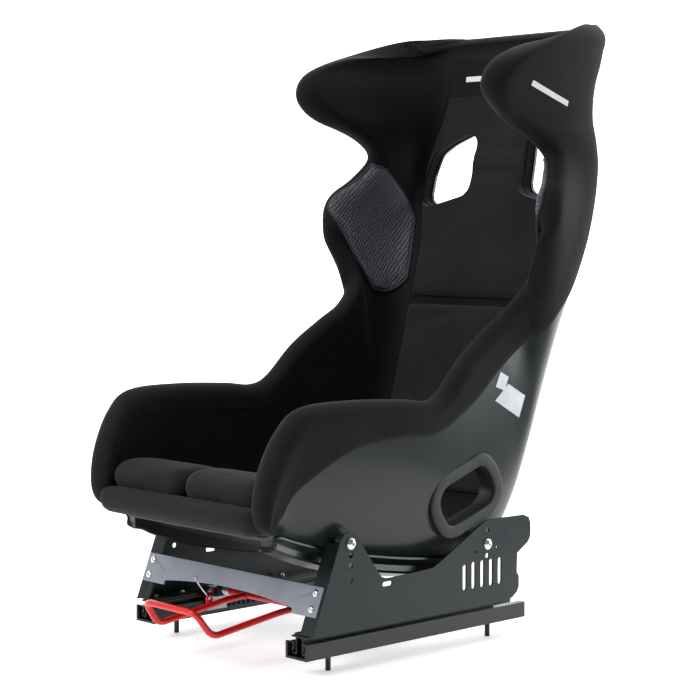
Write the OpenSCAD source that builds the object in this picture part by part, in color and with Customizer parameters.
// Fixed-back competition seat with head restraint wings, on side brackets and
// double-locking slide rails with a pull-up release bar.
// Frame: origin at the centre of the four floor studs, on the rails' underside.
// +Z is up, -Y is the front of the seat, +X is the sitter's left.

/* [Rails] */
// Distance between the two rails' centre lines
rail_gauge = 355; // [340:1:370]
// Length of the lower (floor) rail
lower_rail_len = 462; // [420:2:500]
// Length of the upper (sliding) rail
upper_rail_len = 402; // [360:2:420]
// Width of the lower rail
rail_w = 44; // [44:1:48]
// Height of the lower rail
rail_h = 24; // [24:1:26]
// Front-to-back spacing of the floor studs
stud_pitch = 340; // [300:5:360]
// Floor stud diameter
stud_d = 8; // [6:1:10]
// How far the floor studs reach below the rail
stud_len = 25; // [15:1:30]

/* [Brackets] */
// Front-to-back spacing of the side mounting bolts
side_bolt_pitch = 290; // [280:1:300]
// Distance between the brackets' outer faces
bracket_span = 414; // [410:1:418]
// Thickness of the bracket plate
plate_t = 3; // [2:0.5:4]
// Diameter of the side mounting bolts
bolt_d = 8; // [6:1:10]
// Lean of the bracket's front edge and the cross brace, in degrees
brace_lean = 21.6; // [15:0.1:25]

/* [Release bar] */
// Diameter of the release bar
bar_d = 10; // [8:1:12]
// Half distance between the bar's two arms
arm_x = 64; // [50:1:80]

/* [Seat] */
// Thickness of the bucket's laminate
laminate_t = 5; // [3:0.5:6]
// Thickness of the back and seat pads
pad_t = 16; // [10:1:20]
// Gap between the bucket's layers, which take up the seams and the glue
layer_gap = 1.5; // [1:0.25:2]

/* [Hidden] */
$fn = 48;

rail_x = rail_gauge/2;
plate_x = bracket_span/2;
mount_front = [-152, 162];
mount_rear = [mount_front[0] + side_bolt_pitch, 128];
rail_front_y = -228;
upper_front_y = -226;
upper_top_z = 33;
flange_top_z = upper_top_z + plate_t;
latch_y = -110;
bar_pivot = [-119, 45];
latch_pivot = [rail_x - 27, 42];
clear = 0.05;

// ---------------------------------------------------------------- bucket
// One row per station from the front lip, under the thighs, up the back to
// the top of the head: centre y, centre z, rim y, rim z, half width of the
// flat, half width at the rim, half width at the belly, thickness at the
// rim, thickness in the middle, where the cover's outer edge lies (0 to 1).
STATIONS = [
    [-281, 183, -313, 199, 150, 184, 184, 32, 22, 0.46],
    [-279, 184, -319, 233, 150, 189, 188, 36, 22, 0.52],
    [-272, 185, -307, 284, 148, 195, 188, 42, 22, 0.61],
    [-252, 181, -278, 337, 146, 200, 188, 44, 22, 0.69],
    [-223, 168, -239, 365, 144, 203, 189, 44, 22, 0.74],
    [-157, 146, -147, 369, 142, 205, 190, 44, 22, 0.835],
    [ -67, 127,  -47, 364, 140, 206, 190, 44, 22, 0.875],
    [  13, 114,    7, 359, 138, 204, 190, 42, 22, 0.885],
    [  85, 106,   43, 373, 136, 200, 190, 40, 22, 0.89],
    [ 151, 108,   96, 423, 134, 196, 188, 38, 22, 0.875],
    [ 201, 132,  153, 461, 132, 192, 184, 36, 22, 0.885],
    [ 236, 182,  199, 489, 134, 190, 182, 34, 22, 0.88],
    [ 262, 250,  231, 527, 138, 198, 184, 34, 22, 0.84],
    [ 292, 340,  230, 581, 140, 222, 190, 36, 22, 0.74],
    [ 319, 428,  219, 620, 143, 246, 202, 38, 22, 0.655],
    [ 348, 513,  219, 648, 150, 254, 214, 38, 22, 0.56],
    [ 374, 590,  230, 672, 160, 246, 220, 38, 22, 0.47],
    [ 390, 658,  253, 697, 170, 222, 216, 38, 24, 0.46],
    [ 402, 713,  261, 730, 172, 196, 208, 38, 26, 0.46],
    [ 409, 753,  229, 759, 164, 188, 200, 42, 28, 0.46],
    [ 416, 787,  175, 788, 152, 196, 196, 46, 28, 0.46],
    [ 423, 820,  133, 816, 144, 208, 198, 48, 28, 0.46],
    [ 430, 852,  125, 846, 140, 217, 202, 48, 28, 0.46],
    [ 436, 882,  153, 876, 138, 224, 204, 46, 28, 0.46],
    [ 441, 905,  225, 903, 136, 220, 202, 44, 28, 0.46],
    [ 444, 923,  309, 921, 134, 206, 196, 40, 28, 0.46],
    [ 446, 937,  373, 932, 130, 192, 184, 36, 28, 0.46],
];
LAST = len(STATIONS) - 1;
FLAT = 0.42;          // share of the half section that is flat
BELLY_T = 0.28;       // depth of the wall's lower handle
WALL_RATE = 1.49;     // depth gained per unit of v at the rim

function row(i) = STATIONS[min(max(i, 0), LAST)];
function spline(a, b, c, d, t) =
    0.5*(2*b + (c - a)*t + (2*a - 5*b + 4*c - d)*t*t + (3*b - a - 3*c + d)*t*t*t);
function station(u) = let (k = min(max(u, 0), LAST - 1e-6), i = floor(k))
    spline(row(i - 1), row(i), row(i + 1), row(i + 2), k - i);
function smooth(x) = let (k = min(max(x, 0), 1)) k*k*(3 - 2*k);

// Half width and depth fraction of a section at v, 0 at the centre, 1 at the rim
function section(s, v) = v <= FLAT ? [s[4]*v/FLAT, 0] :
    let (w = (v - FLAT)/(1 - FLAT), q = w*(1.6 - 0.6*w), p = 1 - q,
         x1 = s[4] + 0.85*(s[6] - s[4]))
    [p*p*p*s[4] + 3*q*p*p*x1 + 3*q*q*p*s[6] + q*q*q*s[5],
     3*q*q*p*BELLY_T + q*q*q];
function on_station(s, v) = let (c = section(s, abs(v)))
    [sign(v)*c[0], s[0] + c[1]*(s[2] - s[0]), s[1] + c[1]*(s[3] - s[1])];
function slices(u) = [station(u), station(u - 0.3), station(u + 0.3)];
function outward(S, v) = let (a = abs(v), lo = a - 0.03, hi = min(a + 0.03, 1),
        n = cross(on_station(S[2], a) - on_station(S[1], a),
                  on_station(S[0], hi) - on_station(S[0], lo)))
    [(v < 0 ? -1 : 1)*n[0], n[1], n[2]]/norm(n);
// Point of the bucket's middle surface at v, moved outward by n
function bucket(S, v, n) = on_station(S[0], v) + n*outward(S, v);
function half_t(s, v) = 0.5*(s[8] + (s[7] - s[8])*smooth((abs(v) - 0.55)/0.4));
function tip_v(s) = min(0.3, 0.5*s[7]/(WALL_RATE*norm([s[2] - s[0], s[3] - s[1]])));
function shell_edge(s) = min(0.93, 1 - tip_v(s) - 0.03);
function spread(a, b, n) = [for (i = [0:n]) a + (b - a)*i/n];

// Solid swept along stations us; rows A(s) and B(s) give [v, n] pairs
module swept(us, A, B) {
    n = len(A(station(us[0])));
    m = 2*n;
    pts = [for (u = us) let (S = slices(u), a = A(S[0]), b = B(S[0]))
        each concat([for (p = a) bucket(S, p[0], p[1])],
                    [for (i = [n - 1:-1:0]) bucket(S, b[i][0], b[i][1])])];
    sides = [for (i = [0:len(us) - 2], j = [0:m - 1])
        let (a = i*m + j, b = i*m + (j + 1) % m)
        each [[a, b, b + m], [a, b + m, a + m]]];
    end = (len(us) - 1)*m;
    caps = [for (k = [0:n - 2])
        each [[k, m - 2 - k, k + 1], [k, m - 1 - k, m - 2 - k],
              [end + k, end + k + 1, end + m - 2 - k],
              [end + k, end + m - 2 - k, end + m - 1 - k]]];
    polyhedron(pts, concat(sides, caps), convexity = 8);
}

// Columns shared by the shell and the liner, closer together round the corners
HALF_COLUMNS = [0.1, 0.3, 0.42, 0.49, 0.56, 0.64, 0.73, 0.82, 0.91, 1];
COLUMNS = concat([for (i = [len(HALF_COLUMNS) - 1:-1:0]) -HALF_COLUMNS[i]], HALF_COLUMNS);
// Stations shared by every layer of the bucket, so that the layers nest
GRID_U = concat([0, 0.5, 1, 1.5, 2, 2.5, 3, 3.5], [for (u = [4:12]) u],
                [for (u = [12.5:0.5:LAST - 0.5]) u]);
LAYER_U = [for (u = GRID_U) if (u >= 1) u];

// ---------------------------------------------------------------- helpers
module rod(a, b, d) {
    v = b - a;
    translate(a) rotate([0, acos(v[2]/norm(v)), atan2(v[1], v[0])])
        cylinder(d = d, h = norm(v));
}
// Extrudes a y-z outline along +X
module along_x(x, len) { translate([x, 0, 0]) rotate([90, 0, 90]) linear_extrude(len) children(); }
// Extrudes an x-z outline along +Y
module along_y(y, len) { translate([0, y + len, 0]) rotate([90, 0, 0]) linear_extrude(len) children(); }
module both() { children(); mirror([1, 0, 0]) children(); }
module right() { mirror([1, 0, 0]) children(); }
module slot2d(len, w) { hull() for (s = [-1, 1]) translate([0, s*(len - w)/2]) circle(d = w, $fn = 24); }
module round2d(r) { offset(r) offset(-r) children(); }
// Button head bolt: head on +Z side of z = 0, shank below
module button_bolt(d, len) {
    difference() {
        union() {
            intersection() {
                cylinder(d = 1.75*d, h = 0.55*d);
                translate([0, 0, -0.78*d]) sphere(r = 1.33*d);
            }
            translate([0, 0, -len]) cylinder(d = d, h = len + 0.1);
        }
        translate([0, 0, 0.2*d]) cylinder(d = 0.7*d, h = d, $fn = 6);
    }
}
module hex_nut(d) { cylinder(d = 1.85*d, h = 0.8*d, $fn = 6); }

// ---------------------------------------------------------------- rails
module lower_section() {
    w = rail_w/2;
    for (s = [-1, 1]) scale([s, 1])
        polygon([[0, 0], [w, 0], [w, rail_h], [9, rail_h], [9, 13], [11.5, 13],
                 [11.5, rail_h - 2.5], [w - 2.5, rail_h - 2.5], [w - 2.5, 2.5], [0, 2.5]]);
}
module upper_section() {
    for (s = [-1, 1]) scale([s, 1])
        polygon([[0, upper_top_z - 2.5], [5.5, upper_top_z - 2.5], [5.5, 6], [16.5, 6],
                 [16.5, 17.5], [14, 17.5], [14, 8.5], [8, 8.5], [8, upper_top_z - 2.5],
                 [17, upper_top_z - 2.5], [17, upper_top_z], [0, upper_top_z]]);
}
module lower_rail() color("#26282b") translate([rail_x, 0, 0]) difference() {
    along_y(rail_front_y, lower_rail_len) lower_section();
    // latch windows in the inner wall
    for (y = [-180:10:180])
        translate([-rail_w/2 - 1, y - 3, 8]) cube([5, 6, 10]);
    for (y = [-1, 1]) translate([0, y*stud_pitch/2, -1]) cylinder(d = stud_d, h = 5);
}
module upper_rail() color("#303338") translate([rail_x, 0, 0]) difference() {
    along_y(upper_front_y, upper_rail_len) upper_section();
    for (y = RAIL_BOLT_Y) translate([RAIL_BOLT_DX, y, upper_top_z - 5]) cylinder(d = 6.4, h = 10);
}
RAIL_BOLT_Y = [-204, -150, 62, 150];
RAIL_BOLT_DX = 12.5;
module floor_studs() color("#3a3d40") both() for (s = [-1, 1])
    translate([rail_x, s*stud_pitch/2, -stud_len]) {
        cylinder(d = stud_d, h = stud_len);
        // neck that is swaged into the rail's floor
        cylinder(d = stud_d - 1, h = stud_len + 2.5);
    }
module rail_end_caps() color("#101010") both() translate([rail_x, 0, 0])
    along_y(rail_front_y - 4, 4) difference() {
        translate([-rail_w/2 - 1, 0]) square([rail_w + 2, rail_h + 1]);
        translate([-18.5, 3.5]) square([37, rail_h]);
    }
module ball_cage() color("#c9ccd0") translate([rail_x, 0, 0]) {
    difference() {
        translate([-14.5, -160, 3.75]) cube([29, 220, 1]);
        // lightening windows
        for (y = [-130:36:14]) translate([-8, y, 3]) cube([16, 24, 3]);
    }
    for (y = [-155:35:60], s = [-1, 1]) translate([s*12.3, y, 4.25]) sphere(d = 3.2, $fn = 20);
    for (s = [-1, 1]) {
        translate([s*17.3 - 0.5, -160, 18.9]) cube([1, 220, 1.2]);
        for (y = [-155:35:60]) translate([s*17.3, y, 19.5]) sphere(d = 3.4, $fn = 20);
    }
}

// ---------------------------------------------------------------- brackets
SLOT_Y = [for (i = [0:4]) 87 + 19.8*i];
module bracket_outline() {
    difference() {
        polygon(concat(
            [[-226, upper_top_z], [-171, 172]],
            [for (a = [150:-30:30]) [-155 + 18*cos(a), 162 + 18*sin(a)]],
            [[-98, 115], [-90, 106], [-78, 102], [-11, 104], [18, 106], [30, 111], [126, 161]],
            [[136, 166], [222, 165], [234, 160], [238, 150], [238, 130], [232, 121], [207, 106],
             [206, 76], [211, 69], [211, 52], [206, 44], [197, 38], [186, upper_top_z]]));
        for (z = [mount_front[1], 145, 130, 109]) translate([mount_front[0], z]) circle(d = 8.4);
        for (z = [150, mount_rear[1], 110]) translate([mount_rear[0], z]) circle(d = 8.4);
        for (p = [[112, 119], [160, 121]]) translate(p) circle(d = 4.5);
        for (y = SLOT_Y) translate([y, 83]) slot2d(42, 8.4);
        translate([-78, 94]) rotate(90) slot2d(20, 7);
    }
}
// Frame whose x-y plane is the front face of the leaning flanges
module on_lean() { translate([0, -226, upper_top_z]) rotate([90 - brace_lean, 0, 0]) children(); }
module side_bracket() color("#2b2e31") difference() {
    union() {
        along_x(plate_x - plate_t, plate_t) bracket_outline();
        // foot on the upper rail
        translate([163, -222, upper_top_z]) cube([plate_x - 163, 408, plate_t]);
        // front flange that takes the cross brace
        on_lean() translate([178, 3, -plate_t]) cube([plate_x - 178, 138, plate_t]);
    }
    for (y = RAIL_BOLT_Y) translate([rail_x + RAIL_BOLT_DX, y, 20]) cylinder(d = 6.4, h = 30);
    for (z = BRACE_HEIGHTS) on_lean() translate([190, z, -10]) cylinder(d = 6.4, h = 20);
}
// Heights of the brace bolts along the leaning face
BRACE_HEIGHTS = [41, 65];
module cross_brace() color("#83888f") difference() {
    on_lean() linear_extrude(plate_t) difference() {
        translate([-202, 30]) square([404, 45]);
        // shallow arch along the lower edge
        intersection() {
            translate([0, -1130 + 47]) circle(r = 1130, $fn = 240);
            translate([-150, 0]) square([300, 60]);
        }
    }
    both() for (z = BRACE_HEIGHTS) on_lean() translate([190, z, -10]) cylinder(d = 6.4, h = 20);
}
module brace_bolts() color("#d5d8dc") both() for (z = BRACE_HEIGHTS)
    on_lean() translate([190, z, plate_t]) {
        button_bolt(6.2, 14);
        translate([0, 0, -plate_t*2 - 6]) difference() {
            cylinder(d = 12, h = 5.8, $fn = 6);
            translate([0, 0, -1]) cylinder(d = 6.3, h = 8);
        }
    }
module rail_bolts() color("#d5d8dc") both() for (y = RAIL_BOLT_Y)
    translate([rail_x + RAIL_BOLT_DX, y, flange_top_z]) button_bolt(6.2, 5.3);

// ---------------------------------------------------------------- release
// Folded bracket on the foot of each side bracket: bears the bar and the latch
module release_bracket() color("#3a3d40") difference() {
    union() {
        translate([118, -138, flange_top_z + 0.2]) cube([56, 56, 2.5]);
        translate([118, -134, flange_top_z + 0.2]) cube([3, 30, 19]);
        for (y = [-138, -85]) translate([143, y, flange_top_z + 0.2]) cube([16, 3, 13]);
        // rivets into the foot
        for (y = [-128, -92]) translate([168, y, flange_top_z + 0.2]) cylinder(d = 8, h = 5);
    }
    translate([latch_pivot[0] - 6.5, -131.5, 30]) cube([13, 43, 20]);
    translate([110, bar_pivot[0], bar_pivot[1]]) rotate([0, 90, 0]) cylinder(d = bar_d + 1 + 2*clear, h = 20);
    translate([latch_pivot[0], -150, latch_pivot[1]]) rotate([-90, 0, 0])
        cylinder(d = 6 + 2*clear, h = 90);
}
module latch() color("#9aa0a6") {
    // pin and barrel
    translate([latch_pivot[0], -140, latch_pivot[1]]) rotate([-90, 0, 0]) cylinder(d = 6, h = 60);
    translate([latch_pivot[0], -130.5, latch_pivot[1]]) rotate([-90, 0, 0]) cylinder(d = 9, h = 41);
    // blade with four teeth, which stop just short of the rail's windows
    translate([latch_pivot[0] - 1, latch_y - 20, 8]) cube([2, 40, latch_pivot[1] - 8]);
    for (k = [-1.5:1:1.5]) translate([latch_pivot[0], latch_y + 10*k - 2.5, 9]) cube([4.5, 5, 7]);
    // arm that the bar's paddle lifts
    translate([133, -130.5, bar_pivot[1] + 0.2]) cube([latch_pivot[0] - 133, 8, 3]);
}
// Corners of the bent bar from one end to the other, and the bend radius
BAR_HALF = [[arm_x, bar_pivot[0], bar_pivot[1]], [arm_x, -165, 42], [arm_x, -294, 24],
            [arm_x - 5, -321, 62]];
BAR_PATH = concat(BAR_HALF, [for (i = [len(BAR_HALF) - 1:-1:0])
    [-BAR_HALF[i][0], BAR_HALF[i][1], BAR_HALF[i][2]]]);
bend_r = 15;
bend_steps = 4;
function unit(v) = v/norm(v);
// The path with each corner turned into a smooth curve
function bends(path, r) = concat([path[0]], [for (i = [1:len(path) - 2])
    let (a = path[i] - r*unit(path[i] - path[i - 1]), b = path[i] + r*unit(path[i + 1] - path[i]))
    each [for (k = [0:bend_steps]) let (t = k/bend_steps)
        (1 - t)*(1 - t)*a + 2*t*(1 - t)*path[i] + t*t*b]], [path[len(path) - 1]]);
function tangent(p, i) = unit(p[min(i + 1, len(p) - 1)] - p[max(i - 1, 0)]);
// One normal per point, carried along the path without twist
function carried(p, i, n) = i == len(p) ? [] : let (t = tangent(p, i), m = unit(n - (n*t)*t))
    concat([m], carried(p, i + 1, m));
module bent_tube(p, d, sides) {
    N = carried(p, 0, [1, 0.01, 0]);
    pts = [for (i = [0:len(p) - 1]) let (b = cross(tangent(p, i), N[i]))
        each [for (k = [0:sides - 1]) p[i] + d/2*(cos(360*k/sides)*N[i] + sin(360*k/sides)*b)]];
    walls = [for (i = [0:len(p) - 2], k = [0:sides - 1])
        let (a = i*sides + k, b = i*sides + (k + 1) % sides)
        each [[a, b + sides, b], [a, a + sides, b + sides]]];
    end = (len(p) - 1)*sides;
    lids = [[for (k = [0:sides - 1]) k], [for (k = [sides - 1:-1:0]) end + k]];
    polyhedron(pts, concat(walls, lids), convexity = 6);
}
module release_handle() color("#d01818") {
    translate([-131, bar_pivot[0], bar_pivot[1]]) rotate([0, 90, 0]) cylinder(d = bar_d + 1, h = 262);
    bent_tube(bends(BAR_PATH, bend_r), bar_d, 16);
    both() {
        // paddle under the latch arm
        translate([130.5, -133, bar_pivot[1] - 5]) cube([5.5, 18, 4.5]);
        translate([130, bar_pivot[0] - 3, bar_pivot[1] - 5]) cube([6, 6, 9]);
    }
}
module release_springs() color("#c4c8cc") both() for (i = [0:6])
    translate([116.4 - 2.3*i, bar_pivot[0], bar_pivot[1]]) rotate([0, 90, 0])
        rotate_extrude($fn = 40) translate([bar_d/2 + 1.9, 0]) circle(d = 2.4, $fn = 13);

// ---------------------------------------------------------------- bucket parts
HARNESS_SLOT = [[60, 762], [60, 684], [72, 673], [135, 655], [150, 664], [146, 715],
                [135, 742], [110, 762], [74, 773]];
BELT_HOLE = [[37, 204], [48, 223], [132, 252], [150, 236], [160, 211], [148, 190],
             [74, 165], [57, 164], [41, 187]];
CROTCH = [-40, 22, 90];   // y, half depth, width of the crotch strap slot
CROTCH_Z = 111.6;         // height of the bucket's underside at the slot
CROTCH_LEAN = -9.2;       // slope of the underside there
module on_crotch() { translate([0, CROTCH[0], CROTCH_Z]) rotate([CROTCH_LEAN, 0, 0]) children(); }
module harness_cut(r) both() translate([0, 560, 0]) rotate([90, 0, 0])
    linear_extrude(240) offset(r + 6, $fn = 24) offset(-6) polygon(HARNESS_SLOT);
module belt_cut(r) both() along_x(145, 80) offset(r + 8, $fn = 24) offset(-8) polygon(BELT_HOLE);
module crotch_cut(r) on_crotch() translate([-CROTCH[2]/2 - r, -CROTCH[1] - r, -40])
    cube([CROTCH[2] + 2*r, 2*(CROTCH[1] + r), 130]);

module shell() color("#3f4745") difference() {
    swept(LAYER_U,
          function(s) [for (c = COLUMNS) [c*shell_edge(s), 11]],
          function(s) [for (c = COLUMNS) [c*shell_edge(s), 11 - laminate_t]]);
    harness_cut(0);
    belt_cut(8);
    crotch_cut(0);
    mount_cut();
    // recess for the lap belt grommets' flanges
    both() along_x(flange_x - 0.1, 20) belt_outline(belt_rim + 0.3);
}
fold_gap = 1.6;       // more room where the layers bend round the corners
function liner_v(s) = min(0.775, shell_edge(s) - 0.07);
module foam_liner() color("#1c1c1e") difference() {
    swept(LAYER_U,
          function(s) [for (c = COLUMNS) [c*liner_v(s), 11 - laminate_t - layer_gap - fold_gap]],
          function(s) [for (c = COLUMNS) [c*liner_v(s), -half_t(s, c*liner_v(s))]]);
    harness_cut(2);
    belt_cut(10);
    crotch_cut(2);
    mount_cut();
}
// The skirt's edge; it stays off the tight curve under the nose
function edge_v(s) = s[3] < 320 ? max(s[9], 0.64) : s[9];
function skirt_n(s, v) = max(11 + layer_gap + fold_gap + 3, half_t(s, v));
// Padded cover that wraps the rim: inside face, rounded crest and outside skirt
module bolster() color("#17171a")
    swept(GRID_U,
        function(s) let (e = 1 - tip_v(s), h = s[7]/2) concat(
            [for (v = spread(edge_v(s), e, 5)) [v, v > 0.99*e ? h : skirt_n(s, v)]],
            [for (a = [36:36:144]) [e + tip_v(s)*sin(a), h*cos(a)]],
            [for (v = spread(e, liner_v(s) + 0.006, 3)) [v, v > 0.99*e ? -h : -half_t(s, v)]]),
        function(s) let (e = shell_edge(s) + 0.012) concat(
            [for (v = spread(edge_v(s), e, 6)) [v, 11 + layer_gap + fold_gap]],
            [[e, 11 - laminate_t/2 + 1], [e, 11 - laminate_t/2 - 1]],
            [for (v = spread(e, liner_v(s) + 0.006, 4)) [v, 11 - laminate_t - layer_gap]]));
module head_top_roll() color("#17171a") {
    swept([LAST - 0.36, LAST - 0.24, LAST - 0.12, LAST],
        function(s) [for (v = spread(-0.97, 0.97, 20)) [v, 14]],
        function(s) [for (v = spread(-0.97, 0.97, 20)) [v, -14]]);
}
// Raised pad on the inner face between v limits lo(u) and hi(u)
module raised_pad(us, lo, hi, t, cols, depth) {
    swept(us,
        function(s) [for (v = spread(lo(s), hi(s), cols)) [v, -half_t(s, v) - layer_gap]],
        function(s) let (a = lo(s), b = hi(s)) [for (k = [0:cols])
            let (v = a + (b - a)*k/cols, edge = sin(180*k/cols))
            [v, -half_t(s, v) - layer_gap - t*(0.35 + 0.65*min(1, depth*edge))]]);
}
// Station number from the centre height, for limits that vary up the back
function lerp_at(table, x) = x <= table[0][0] ? table[0][1] :
    x >= table[len(table) - 1][0] ? table[len(table) - 1][1] :
    let (i = max([for (k = [0:len(table) - 2]) if (table[k][0] <= x) k]),
         t = (x - table[i][0])/(table[i + 1][0] - table[i][0]))
    table[i][1] + t*(table[i + 1][1] - table[i][1]);
PAD_EDGE = [[485, 0.405], [645, 0.40], [660, 0.26], [676, 0.14], [690, 0.13], [768, 0.13],
            [792, 0.2], [815, 0.36], [900, 0.36]];
module lower_back_pad() color("#262629")
    raised_pad(spread(11.3, 14.65, 9), function(s) -0.405, function(s) 0.405, pad_t, 12, 1.6);
module upper_back_pad() color("#262629")
    raised_pad(concat(spread(14.72, 16.8, 6), [17.05, 17.35, 17.6], spread(18, 24, 12)),
        function(s) -lerp_at(PAD_EDGE, s[1]), function(s) lerp_at(PAD_EDGE, s[1]), pad_t*0.75, 12, 1.6);
SHOULDER_LO = [[428, 0.72], [470, 0.61], [520, 0.48], [632, 0.5], [670, 0.7], [708, 0.87]];
SHOULDER_HI = [[428, 0.86], [452, 0.89], [513, 0.91], [590, 0.91], [700, 0.90]];
module shoulder_pad() color("#4a4d55")
    raised_pad(spread(14.05, 17.85, 10), function(s) lerp_at(SHOULDER_LO, s[1]),
        function(s) lerp_at(SHOULDER_HI, s[1]), 6, 8, 1.6);
// Point of the side view, d above the liner at station u
function profile(u, d) = let (S = slices(u), p = bucket(S, 0, -half_t(S[0], 0) - layer_gap - d))
    [p[1], p[2]];
SEAT_U = [5.7, 6, 7, 8, 9, 9.8];
module seat_cushion() color("#262629") difference() {
    along_x(-130, 260) round2d(5) polygon(concat([for (u = SEAT_U) profile(u, fold_gap)],
        [for (i = [len(SEAT_U) - 1:-1:0]) profile(SEAT_U[i], pad_t*1.9)]));
    crotch_cut(2);
}
module leg_cushion() color("#2b292b") along_x(2, 154) round2d(8)
    polygon([[-274, 206], [-276, 240], [-262, 259], [-236, 262], [-180, 244], [-118, 212],
             [-112, 158], [-200, 184], [-230, 196]]);
roll_end = 158;       // half length of the front roll
module roll_outline() round2d(12) polygon([[-314, 178], [-314, 222], [-284, 222], [-284, 178]]);
module front_roll() color("#2b292b") along_x(-roll_end, 2*roll_end) roll_outline();

// ---------------------------------------------------------------- hardware
module belt_outline(r) { offset(r, $fn = 24) offset(-8) polygon(BELT_HOLE); }
flange_x = 200.2;     // inner face of the lap belt grommets' flanges
belt_rim = 28;        // offset of the flange's outline, 20 outside the hole's
module lap_belt_grommet() color("#2c3230") difference() {
    union() {
        along_x(172, 30) belt_outline(15.7);
        along_x(flange_x, 3.5) belt_outline(belt_rim);
    }
    along_x(160, 60) belt_outline(8);
}
module crotch_strap_grommet() color("#202222") on_crotch() difference() {
    union() {
        translate([-CROTCH[2]/2 + 0.4, -CROTCH[1] + 0.4, -2]) cube([CROTCH[2] - 0.8, 2*CROTCH[1] - 0.8, 30]);
        translate([-CROTCH[2]/2 - 8, -CROTCH[1] - 8, -4]) cube([CROTCH[2] + 16, 2*CROTCH[1] + 16, 3]);
    }
    translate([-CROTCH[2]/2 + 5, -CROTCH[1] + 5, -20]) cube([CROTCH[2] - 10, 2*CROTCH[1] - 10, 80]);
}
module mount_cut() both() at_mounts() translate([0, 0, -plate_t - 30]) cylinder(d = 26.6, h = 30);
module at_mounts() for (p = [mount_front, mount_rear])
    translate([plate_x, p[0], p[1]]) rotate([0, 90, 0]) children();
module mount_bushes() color("#8d9298") both() at_mounts() translate([0, 0, -plate_t - 18]) difference() {
    cylinder(d = 26, h = 18);
    translate([0, 0, -1]) cylinder(d = 8.4, h = 20);
}
module mount_bolts() color("#d5d8dc") both() at_mounts() {
    difference() {
        cylinder(d = 17, h = 1.6);
        translate([0, 0, -1]) cylinder(d = 8.4, h = 4);
    }
    translate([0, 0, 1.6]) button_bolt(bolt_d, 22);
}

lower_rail();  // lower_rail_left
right() lower_rail();  // lower_rail_right
floor_studs();
rail_end_caps();
ball_cage();  // ball_cage_left
right() ball_cage();  // ball_cage_right
upper_rail();  // upper_rail_left
right() upper_rail();  // upper_rail_right
side_bracket();  // side_bracket_left
right() side_bracket();  // side_bracket_right
cross_brace();
brace_bolts();
rail_bolts();
release_bracket();  // release_bracket_left
right() release_bracket();  // release_bracket_right
release_springs();
release_handle();
latch();  // latch_left
right() latch();  // latch_right
shell();
foam_liner();
bolster();  // bolster_left
right() bolster();  // bolster_right
head_top_roll();
front_roll();
seat_cushion();
leg_cushion();  // leg_cushion_left
right() leg_cushion();  // leg_cushion_right
lower_back_pad();
upper_back_pad();
shoulder_pad();  // shoulder_pad_left
right() shoulder_pad();  // shoulder_pad_right
lap_belt_grommet();  // lap_belt_grommet_left
right() lap_belt_grommet();  // lap_belt_grommet_right
crotch_strap_grommet();
mount_bushes();
mount_bolts();
